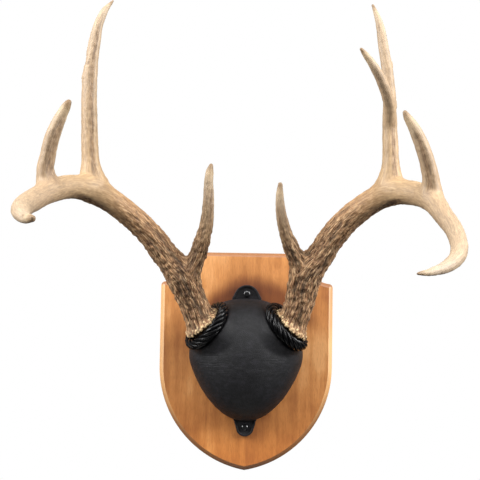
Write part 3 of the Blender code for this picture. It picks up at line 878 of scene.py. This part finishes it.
rightAntler = {
    "side": 1,
    "reach": 0.159,
    "sweep": 0.302,
    "rise": 0.143,
    "beam": [
        (0.00, 0.00, 0.00, 1.04), (0.05, 0.033, 0.18, 1.03), (0.094, 0.065, 0.383, 1.15),
        (0.20, 0.09, 0.55, 1.02), (0.312, 0.125, 0.735, 0.96), (0.46, 0.18, 0.889, 0.92),
        (0.63, 0.27, 0.99, 0.92), (0.77, 0.38, 0.98, 0.84), (0.876, 0.485, 0.905, 0.75),
        (0.94, 0.60, 0.757, 0.63), (0.985, 0.71, 0.61, 0.58), (0.981, 0.80, 0.47, 0.55),
        (0.907, 0.88, 0.37, 0.45), (0.78, 0.95, 0.305, 0.28), (0.67, 1.00, 0.28, 0.13)],
    "tines": [
        (0, 2, 0.102, [
            (-0.02, 0.0, -0.07, 0.80), (-0.12, 0.12, 0.175, 0.59), (-0.201, 0.195, 0.345, 0.52),
            (-0.268, 0.265, 0.52, 0.44), (-0.307, 0.325, 0.685, 0.36),
            (-0.322, 0.365, 0.845, 0.30), (-0.318, 0.40, 1.005, 0.17)]),
        (0, 6, 0.213, [
            (0.0, 0.0, 0.0, 0.82), (0.012, 0.03, 0.095, 0.71), (0.012, 0.04, 0.195, 0.56),
            (0.007, 0.04, 0.335, 0.53), (-0.001, 0.04, 0.58, 0.42), (-0.03, 0.025, 0.785, 0.37),
            (-0.049, 0.01, 0.90, 0.29), (-0.086, -0.005, 1.012, 0.13)]),
        (2, 3, 0.080, [
            (0.0, 0.0, 0.0, 0.42), (-0.033, 0.21, 0.31, 0.41), (-0.133, 0.39, 0.551, 0.38),
            (-0.27, 0.54, 0.76, 0.325), (-0.389, 0.61, 0.905, 0.24),
            (-0.478, 0.66, 1.005, 0.13)]),
        (0, 8, 0.091, [
            (0.0, 0.0, 0.0, 0.67), (0.004, 0.075, 0.175, 0.58), (-0.04, 0.13, 0.375, 0.53),
            (-0.112, 0.185, 0.58, 0.495), (-0.207, 0.23, 0.78, 0.42),
            (-0.295, 0.265, 0.91, 0.30), (-0.346, 0.285, 1.0, 0.17)]),
    ],
    "fillets": [0.010, 0.018, 0.004, 0.014],
    # the long dark mark down the G3 tine is painted shade in its hollow
    "knobs": [
        (2, 0.665, 92, 0.014, 24, 0.0012, 0.0), (2, 0.46, 95, 0.018, 24, 0.0008, 0.0),
        (2, 0.86, -30, 0.05, 30, 0.0, 0.35), (4, 0.40, -20, 0.30, 22, 0.0, 0.5)],
    # the faces are painted darker too, a painted shade
    "faces": [
        (0, 80, 37, 0.10, 0.55, 0.0017), (1, -30, 24, 0.05, 0.85, 0.0010),
        (1, 36, 18, 0.10, 0.75, 0.0006), (2, 20, 18, 0.02, 0.50, 0.0006),
        (4, -20, 22, -0.10, 0.80, 0.0016)],
}


# Fine streaks that run with the growth, strong in the bark and faint above it, over a ground
# that pales along the antler. The ground is painted darker in the flat and hollow faces and
# under the burr, a painted shade, and at the knobs' dark marks.
def addStreaks(tree, growth, bark, age, shade):
    aged = addNode(tree, "ShaderNodeValToRGB", None, {"Fac": age})
    setStops(aged, antlers["ageTones"])
    ground = addNode(tree, "ShaderNodeMix", {"B": toLinear(antlers["shadeAndStainTone"])},
                     {"Factor": shade, "A": aged.outputs["Color"]}, data_type="RGBA")
    stretch = antlers["grooveStretch"] / antlers["streakStretch"]
    drawn = addNode(tree, "ShaderNodeMapping", {"Scale": (1.0, 1.0, stretch)},
                    {"Vector": growth})
    streaks = addNode(tree, "ShaderNodeTexNoise",
                      {"Scale": 1 / antlers["streakWidth"], "Detail": 3.0, "Roughness": 0.65,
                       "Distortion": 0.5},
                      {"Vector": drawn.outputs["Vector"]})
    tone = addNode(tree, "ShaderNodeValToRGB", None, {"Fac": streaks.outputs["Fac"]})
    setStops(tone, antlers["streakTones"])
    strength = addNode(tree, "ShaderNodeMapRange", {"To Min": 0.22, "To Max": 0.78},
                       {"Value": bark})
    streaked = addNode(tree, "ShaderNodeMix", None,
                       {"Factor": strength.outputs["Result"], "A": ground.outputs["Result"],
                        "B": tone.outputs["Color"]}, data_type="RGBA")
    return streaked.outputs["Result"], streaks.outputs["Fac"]


# How deep a place lies in the thin seams between the bark's long swaying ridges.
def addSeams(tree, growth, bark):
    sway = addNode(tree, "ShaderNodeTexNoise", {"Scale": 1 / antlers["swaySize"],
                                                "Detail": 3.0},
                   {"Vector": growth})
    centred = addNode(tree, "ShaderNodeVectorMath", {1: (0.5, 0.5, 0.5)},
                      {0: sway.outputs["Color"]}, operation="SUBTRACT")
    swayed = addNode(tree, "ShaderNodeVectorMath", {1: (antlers["ridgeSway"],) * 3},
                     {0: centred.outputs["Vector"], 2: growth}, operation="MULTIPLY_ADD")
    ridges = addNode(tree, "ShaderNodeTexVoronoi", {"Scale": 1 / antlers["ridgeWidth"]},
                     {"Vector": swayed.outputs["Vector"]}, feature="DISTANCE_TO_EDGE")
    seam = addNode(tree, "ShaderNodeMapRange", {"From Min": 0.20, "From Max": 0.02,
                                                "To Max": 0.55},
                   {"Value": ridges.outputs["Distance"]})
    depth = addNode(tree, "ShaderNodeMath", None, {0: seam.outputs["Result"], 1: bark},
                    operation="MULTIPLY")
    return depth.outputs["Value"]


def makeAntlerBone():
    material, tree, shader = newMaterial("whitetail antler bone")
    marks = {name: addNode(tree, "ShaderNodeAttribute", attribute_name=name).outputs["Fac"]
             for name in ("bark", "groove", "pearl", "tip", "firm", "age", "shade")}
    bark = marks["bark"]
    growth = addNode(tree, "ShaderNodeAttribute", attribute_name="growth").outputs["Vector"]
    streaked, streaks = addStreaks(tree, growth, bark, marks["age"], marks["shade"])
    seams = addSeams(tree, growth, bark)
    seamed = addNode(tree, "ShaderNodeMix", {"B": toLinear(antlers["seamTone"])},
                     {"Factor": seams, "A": streaked}, data_type="RGBA")
    grooveTone = addNode(tree, "ShaderNodeMapRange", {"From Min": 0.25, "From Max": 1.0,
                                                      "To Min": 1.15, "To Max": 0.38},
                         {"Value": marks["groove"]})
    grooveMix = addNode(tree, "ShaderNodeMapRange", {"To Min": 0.20, "To Max": 1.0},
                        {"Value": bark})
    barked = addNode(tree, "ShaderNodeMix", None,
                     {"Factor": grooveMix.outputs["Result"], "A": seamed.outputs["Result"],
                      "B": grooveTone.outputs["Result"]},
                     data_type="RGBA", blend_type="MULTIPLY")
    tipTone = addNode(tree, "ShaderNodeValToRGB", None, {"Fac": marks["tip"]})
    setStops(tipTone, antlers["tipTones"])
    tipMix = addNode(tree, "ShaderNodeMath", {1: 0.8}, {0: marks["tip"]},
                     operation="MULTIPLY")
    tipped = addNode(tree, "ShaderNodeMix", None,
                     {"Factor": tipMix.outputs["Value"], "A": barked.outputs["Result"],
                      "B": tipTone.outputs["Color"]}, data_type="RGBA")
    pearled = addNode(tree, "ShaderNodeMix", {"B": toLinear(antlers["pearlTone"])},
                      {"Factor": marks["pearl"], "A": tipped.outputs["Result"]},
                      data_type="RGBA")
    # the relief is strong in the bark, and left out where two stems' grain meet
    relief = addNode(tree, "ShaderNodeMath", {1: -1.5}, {0: seams, 2: streaks},
                     operation="MULTIPLY_ADD")
    rough = addNode(tree, "ShaderNodeMapRange", {"To Min": 0.25, "To Max": 1.0},
                    {"Value": bark})
    for strength in (rough.outputs["Result"], marks["firm"]):
        relief = addNode(tree, "ShaderNodeMath", None,
                         {0: relief.outputs["Value"], 1: strength}, operation="MULTIPLY")
    bump = addNode(tree, "ShaderNodeBump", {"Strength": 0.8, "Distance": 0.0008},
                   {"Height": relief.outputs["Value"]})
    gloss = addNode(tree, "ShaderNodeMapRange", {"To Min": 0.56, "To Max": 0.72},
                    {"Value": bark})
    tree.links.new(pearled.outputs["Result"], shader.inputs["Base Color"])
    tree.links.new(gloss.outputs["Result"], shader.inputs["Roughness"])
    tree.links.new(bump.outputs["Normal"], shader.inputs["Normal"])
    shader.inputs["IOR"].default_value = 1.55
    shader.inputs["Specular IOR Level"].default_value = 0.35
    return material


# A stem as a curve, with its radius at every point.
def stemCurve(stations, depth):
    curve = bpy.data.curves.new("stem", "CURVE")
    curve.dimensions = "3D"
    curve.resolution_u = antlers["curveSteps"]
    curve.bevel_depth = depth
    curve.bevel_resolution = 6
    curve.use_fill_caps = True
    curve.twist_mode = "MINIMUM"
    spline = curve.splines.new("BEZIER")
    spline.bezier_points.add(len(stations) - 1)
    for point, (place, radius) in zip(spline.bezier_points, stations):
        point.co = place
        point.radius = radius
        point.handle_left_type = "AUTO"
        point.handle_right_type = "AUTO"
    return objectFrom("stem", curve)


def stemStations(antler):
    side = antler["side"]
    start = footCentre(side)
    thick = antlers["beamRadius"]
    stems = [[(start + Vector((side * antler["reach"] * out, -antler["sweep"] * forward,
                               antler["rise"] * up)), thick * share)
              for out, forward, up, share in antler["beam"]]]
    for parent, station, length, shares in antler["tines"]:
        root = stems[parent][station][0]
        stems.append([(root + Vector((side * out, -forward, up)) * length, thick * share)
                      for out, forward, up, share in shares])
    return stems


lineSpot = namedtuple("lineSpot", "place ahead radius travelled sideways")


# The middle line of a stem: places, directions, radii, distances from the burr,
# and a sideways direction carried along it without twisting.
def middleLine(stations, before):
    mesh = bakedMesh(stemCurve(stations, 0.0))
    places = [vert.co.copy() for vert in mesh.vertices]
    bpy.data.meshes.remove(mesh)
    steps = antlers["curveSteps"]
    line = []
    travelled = before
    sideways = Vector((0, 1, 0))
    for index, place in enumerate(places):
        ahead = places[min(index + 1, len(places) - 1)] - places[max(index - 1, 0)]
        ahead.normalize()
        sideways = (sideways - ahead * sideways.dot(ahead)).normalized()
        if index:
            travelled += (place - places[index - 1]).length
        span = min(index // steps, len(stations) - 2)
        share = index / steps - span
        radius = stations[span][1] * (1 - share) + stations[span + 1][1] * share
        line.append(lineSpot(place, ahead, radius, travelled, sideways))
    return line


def treeOf(places):
    tree = KDTree(len(places))
    for index, place in places:
        tree.insert(place, index)
    tree.balance()
    return tree


# The collar, its stub and loose rows of pearls. Gives back the pearls' places.
def addBurr(bm, antler):
    side = antler["side"]
    place = Matrix.Translation(footCentre(side)) @ turnTo(footLean(side))
    radius = antlers["burrRadius"]
    above = antlers["burrAbove"]
    below = antlers["burrBelow"]
    collar = bmesh.new()
    spinProfile(collar, [(0, above + 0.003), (antlers["beamRadius"] * 0.98, above + 0.003),
                         (radius * 0.90, above * 0.6), (radius, 0), (radius * 0.93, -below),
                         (0, -below)], 48)
    bmesh.ops.create_cone(collar, cap_ends=True, segments=48, radius1=antlers["stubRadius"],
                          radius2=antlers["stubRadius"], depth=antlers["stubLength"],
                          matrix=Matrix.Translation((0, 0, -antlers["stubLength"] / 2)))
    pearls = []
    noise.seed_set(antlers["pearlSeed"])
    for index in range(antlers["pearls"]):
        row = antlers["pearlOrder"][index % len(antlers["pearlOrder"])]
        inset, share, height = antlers["pearlRows"][row]
        jitter = noise.noise_vector(Vector((index * 1.73, side * 3.1, 0.4)))
        again = noise.noise(Vector((index * 2.31, 5.2, side * 1.9)))
        angle = 2 * math.pi * (index + 1.1 * jitter.x) / antlers["pearls"]
        spread = radius - inset + 0.0010 * jitter.y
        size = antlers["pearlRadius"] * (1 + 0.8 * again) * share
        spot = Vector((spread * math.cos(angle), spread * math.sin(angle),
                       height + 0.0012 * jitter.z))
        pearls.append((place @ spot, size))
        stretch = Matrix.Diagonal((1.0, 1.0, 1.0 + 0.6 * abs(jitter.z), 1.0))
        bmesh.ops.create_icosphere(collar, subdivisions=2, radius=size,
                                   matrix=Matrix.Translation(spot) @ stretch)
    bmesh.ops.recalc_face_normals(collar, faces=collar.faces)
    bmesh.ops.transform(collar, matrix=place, verts=collar.verts)
    addMesh(bm, meshFrom("collar", collar))
    return pearls


def smoothStep(low, high, value):
    share = min(max((value - low) / (high - low), 0.0), 1.0)
    return share * share * (3 - 2 * share)


# How high the bark stands at a place on a stem, and how dark it is there.
def barkAt(growth, place, bark):
    width = antlers["grooveWidth"]
    broad = noise.noise(growth / (1.9 * width))
    narrow = noise.noise(growth / width + Vector((7.1, 2.3, 5.9)))
    fine = noise.noise(growth / (0.6 * width) + Vector((1.7, 9.2, 3.3)))
    knob = noise.noise(place / 0.0047)
    dark = 0.40 - 0.8 * broad + 1.6 * (0.22 - abs(narrow)) - 0.5 * fine
    height = 0.45 * broad + 0.9 * (abs(narrow) - 0.25) + 0.4 * fine + 1.0 * knob
    return height * (0.18 + 0.82 * bark), min(1.0, max(0.0, dark))


# The stems nearest to a place, as (distance to its surface, stem, station).
def nearStems(place, lines, trees):
    near = []
    for number, (line, tree) in enumerate(zip(lines, trees)):
        _, index, off = tree.find(place)
        near.append((off - line[index].radius, number, index))
    near.sort()
    return near


# The angle at which a place lies round its stem: 0 looks forwards, 90 out or down.
# There is none where the stem itself points forwards, near enough.
def girthAngle(antler, out, ahead, least):
    front = Vector((0, -1, 0)) + ahead * ahead.y
    if front.length < least:
        return None
    front.normalize()
    angle = math.degrees(math.atan2(out.dot(ahead.cross(front)), out.dot(front)))
    return angle * antler["side"]


def degreesOff(angle, middle):
    return abs((angle - middle + 180) % 360 - 180)


# How far a place is pulled in by the flats and hollows of its stem, and how deep
# in such a face it lies, from 0 to 1.
def faceAt(antler, number, share, out, spot):
    angle = girthAngle(antler, out, spot.ahead, 0.3)
    pull = depth = 0.0
    if angle is None:
        return pull, depth
    for stem, middle, half, start, end, hollow in antler["faces"]:
        off = degreesOff(angle, middle)
        if stem != number or off >= half:
            continue
        window = smoothStep(start, start + 0.12, share) * smoothStep(-end, 0.14 - end, -share)
        flat = 1 - math.cos(math.radians(half)) / math.cos(math.radians(off))
        deep = math.cos(0.5 * math.pi * off / half)
        pull += window * (0.8 * flat * spot.radius + hollow * deep)
        depth = max(depth, window * min(1.0, 1.6 * deep))
    return pull, depth


# How far the knobs push a place out, and how dark their marks are there: stains, and painted
# shade down the G3 tines.
def knobAt(antler, number, share, out, spot):
    angle = girthAngle(antler, out, spot.ahead, 0.1)
    lift = stainAndShade = 0.0
    if angle is None:
        return lift, stainAndShade
    for stem, middle, turn, span, width, height, dark in antler["knobs"]:
        if stem != number or abs(share - middle) > 2.5 * span:
            continue
        near = math.exp(-((share - middle) / span) ** 2
                        - (degreesOff(angle, turn) / width) ** 2)
        lift += height * near
        stainAndShade = max(stainAndShade, dark * near)
    return lift, stainAndShade


def shareAlong(line, spot):
    return (spot.travelled - line[0].travelled) / (line[-1].travelled - line[0].travelled)


# The stems joined in one bmesh, their middle lines, and a tree of each line's places
# from where it leaves its parent.
def joinStems(antler):
    bm = bmesh.new()
    lines = []
    trees = []
    for index, stations in enumerate(stemStations(antler)):
        before = hidden = 0.0
        if index:
            parent, station = antler["tines"][index - 1][:2]
            fork = lines[parent][station * antlers["curveSteps"]]
            before = fork.travelled
            hidden = 0.9 * fork.radius
        line = middleLine(stations, before)
        lines.append(line)
        trees.append(treeOf([(number, spot.place) for number, spot in enumerate(line)
                             if (spot.place - line[0].place).length >= hidden]))
        addMesh(bm, bakedMesh(stemCurve(stations, 1.0)))
    return bm, lines, trees


# Flares at the forks, and the flat and hollow faces.
def shapeForks(bm, antler, lines, trees):
    forked = []
    for vert in bm.verts:
        (off, number, index), (nextOff, nextNumber, _) = nearStems(vert.co, lines, trees)[:2]
        spot = lines[number][index]
        out = vert.co - spot.place
        out -= spot.ahead * out.dot(spot.ahead)
        if out.length < 0.3 * spot.radius:
            continue
        out.normalize()
        gap = nextOff - off
        size = antler["fillets"][max(number, nextNumber) - 1]
        flare = 0.25 * size * max(0.0, 1 - gap / size) ** 2
        share = shareAlong(lines[number], spot)
        vert.co += out * (flare - faceAt(antler, number, share, out, spot)[0])
        if gap < antlers["forkWidth"]:
            forked.append(vert)
    soften(bm, forked, antlers["forkSmoothing"], 0.5)


# What the bark and its wear are like at a place, seen from one stem.
def boneFacts(antler, line, number, index, place):
    spot = line[index]
    out = place - spot.place
    along = out.dot(spot.ahead)
    out -= spot.ahead * along
    out = out.normalized() if out.length > 1e-6 else spot.sideways.copy()
    girth = out * spot.radius
    reached = spot.travelled + along
    share = shareAlong(line, spot)
    growth = Vector((girth.dot(spot.sideways), girth.dot(spot.ahead.cross(spot.sideways)),
                     reached / antlers["grooveStretch"] + number * 0.37))
    depth = faceAt(antler, number, share, out, spot)[1]
    lift, stainAndShade = knobAt(antler, number, share, out, spot)
    bark = 1 - smoothStep(antlers["barkStart"], antlers["barkEnd"], reached)
    age = reached / antlers["paleAt"]
    # shade is a painted shade in the faces, deepest on the beam's underside
    if number:
        bark = max(bark * (1 - 0.9 * smoothStep(0.30, 0.72, share)), 0.15 * depth)
        age = max(age, 0.95 * share)
        rubbed = 0.0
        shade = 0.55 * depth
    else:
        bark = max(bark, 0.75 * depth)
        # the upper side of the beam is rubbed paler and smoother
        rubbed = smoothStep(0.25, 0.85, out.z) * smoothStep(0.03, 0.10, spot.travelled)
        shade = 0.95 * depth
    bark *= 1 - 0.45 * rubbed
    rise, groove = barkAt(growth, place, bark)
    left = line[-1].travelled - reached
    return {"growth": growth, "bark": bark, "groove": groove * (1 - 0.6 * rubbed),
            "height": rise * antlers["barkDepth"] + lift, "age": age,
            "shade": max(stainAndShade, shade), "tip": 1 - smoothStep(0.002, antlers["tipLength"], left)}


# The same, with the facts of the two nearest stems blended where they meet.
def blendedFacts(antler, lines, trees, place):
    (off, number, index), (nextOff, nextNumber, nextIndex) = nearStems(place, lines, trees)[:2]
    facts = boneFacts(antler, lines[number], number, index, place)
    weight = math.exp(-((nextOff - off) / antlers["blendWidth"]) ** 2)
    facts["firm"] = 1 - weight
    if weight >= 0.01:
        other = boneFacts(antler, lines[nextNumber], nextNumber, nextIndex, place)
        for key in ("bark", "groove", "height", "age", "shade", "tip"):
            facts[key] = (facts[key] + weight * other[key]) / (1 + weight)
    return facts


# Raises the bark, and gives back what the material reads at each point.
def raiseBark(bm, antler, lines, trees, pearls):
    foot = footCentre(antler["side"])
    lean = footLean(antler["side"])
    pearlTree = treeOf([(index, place) for index, (place, _) in enumerate(pearls)])
    marks = {key: [] for key in ("bark", "groove", "pearl", "tip", "age", "shade", "firm",
                                 "growth")}
    moves = []
    for vert in bm.verts:
        facts = blendedFacts(antler, lines, trees, vert.co)
        fromFoot = vert.co - foot
        up = fromFoot.dot(lean)
        spread = (fromFoot - lean * up).length
        _, index, off = pearlTree.find(vert.co)
        pearl = 1 - smoothStep(0.75, 1.15, off / pearls[index][1])
        collar = smoothStep(0.0185, 0.0210, spread) * (1 - smoothStep(0.004, 0.0065, abs(up)))
        calm = (1 - 0.8 * max(pearl, collar)) * smoothStep(-0.008, 0.0, up)
        moves.append(vert.normal * facts["height"] * calm)
        facts["pearl"] = pearl
        # painted shade on the bone under the burr
        facts["shade"] = max(facts["shade"], smoothStep(0.001, 0.004, -up))
        marks["growth"].extend(facts.pop("growth"))
        del facts["height"]
        for key, value in facts.items():
            marks[key].append(value)
    for vert, move in zip(bm.verts, moves):
        vert.co += move
    return marks


def makeAntler(name, node, antler, material):
    bm, lines, trees = joinStems(antler)
    bm = remeshed(bm, antlers["roughVoxel"])
    shapeForks(bm, antler, lines, trees)
    pearls = addBurr(bm, antler)
    bm = remeshed(bm, antlers["voxel"])
    foot = footCentre(antler["side"])
    lean = footLean(antler["side"])
    aboveBurr = [vert for vert in bm.verts if (vert.co - foot).dot(lean) > 0.0065]
    soften(bm, aboveBurr, antlers["smoothing"], 0.5)
    soften(bm, bm.verts, 1, 0.4)
    bm.normal_update()
    marks = raiseBark(bm, antler, lines, trees, pearls)
    mesh = meshFrom(name, bm)
    for key, values in marks.items():
        kind, field = ("FLOAT_VECTOR", "vector") if key == "growth" else ("FLOAT", "value")
        mesh.attributes.new(key, kind, "POINT")
        mesh.attributes[key].data.foreach_set(field, values)
    finishPiece(objectFrom(name, mesh), material, node)
    print(name, len(mesh.polygons), "faces")


antlerBone = makeAntlerBone()
makeAntler("leftAntlerBone", "left_antler", leftAntler, antlerBone)
makeAntler("rightAntlerBone", "right_antler", rightAntler, antlerBone)
print("antlers made")


# Two tall softboxes at the sides, a broad one above and in front, and white all round.
studio = {
    "floorHeight": -1.4,
    "floorRadius": 0.7,
    "surround": (0.03, 0.42),  # from straight below and from straight above
    "lights": [
        ("leftSoftbox", (-1.30, -0.62, 0.75), (0.7, 1.2), 19.0),
        ("rightSoftbox", (1.30, -0.62, 0.75), (0.7, 1.2), 20.5),
        ("topSoftbox", (0.0, -0.95, 1.50), (1.6, 0.9), 11.5),
    ],
    "aim": (0.0, -0.10, 0.10),
    "spread": 110.0,  # degrees
}


def makeStudio():
    world = bpy.data.worlds.new("studio")
    scene.world = world
    world.use_nodes = True
    tree = world.node_tree
    tree.nodes.clear()
    path = addNode(tree, "ShaderNodeLightPath")
    direction = addNode(tree, "ShaderNodeTexCoord")
    parts = addNode(tree, "ShaderNodeSeparateXYZ", None,
                    {"Vector": direction.outputs["Generated"]})
    below, above = studio["surround"]
    glow = addNode(tree, "ShaderNodeMapRange", {"From Min": -1.0, "To Min": below,
                                                "To Max": above},
                   {"Value": parts.outputs["Z"]})
    lit = addNode(tree, "ShaderNodeBackground", {"Color": toLinear("#ffffff")},
                  {"Strength": glow.outputs["Result"]})
    seen = addNode(tree, "ShaderNodeBackground", {"Color": toLinear("#ffffff"),
                                                  "Strength": 1.0})
    mix = addNode(tree, "ShaderNodeMixShader", None,
                  {0: path.outputs["Is Camera Ray"], 1: lit.outputs["Background"],
                   2: seen.outputs["Background"]})
    addNode(tree, "ShaderNodeOutputWorld", links={"Surface": mix.outputs["Shader"]})
    for name, place, size, power in studio["lights"]:
        data = bpy.data.lights.new(name, "AREA")
        data.shape = "RECTANGLE"
        data.size, data.size_y = size
        data.energy = power
        data.spread = math.radians(studio["spread"])
        light = bpy.data.objects.new(name, data)
        scene.collection.objects.link(light)
        aim = Vector(studio["aim"]) - Vector(place)
        light.matrix_world = (Matrix.Translation(place)
                              @ aim.to_track_quat("-Z", "Y").to_matrix().to_4x4())
    bm = bmesh.new()
    bmesh.ops.create_circle(bm, cap_ends=True, segments=64, radius=studio["floorRadius"],
                            matrix=Matrix.Translation((0, -0.3, studio["floorHeight"])))
    floor = objectFrom("floor", meshFrom("floor", bm, False))
    material, tree, shader = newMaterial("matt white paint")
    shader.inputs["Base Color"].default_value = toLinear("#e8e6e2")
    shader.inputs["Roughness"].default_value = 0.9
    floor.data.materials.append(material)


makeStudio()
scene.view_settings.view_transform = "Standard"
print("studio lit")
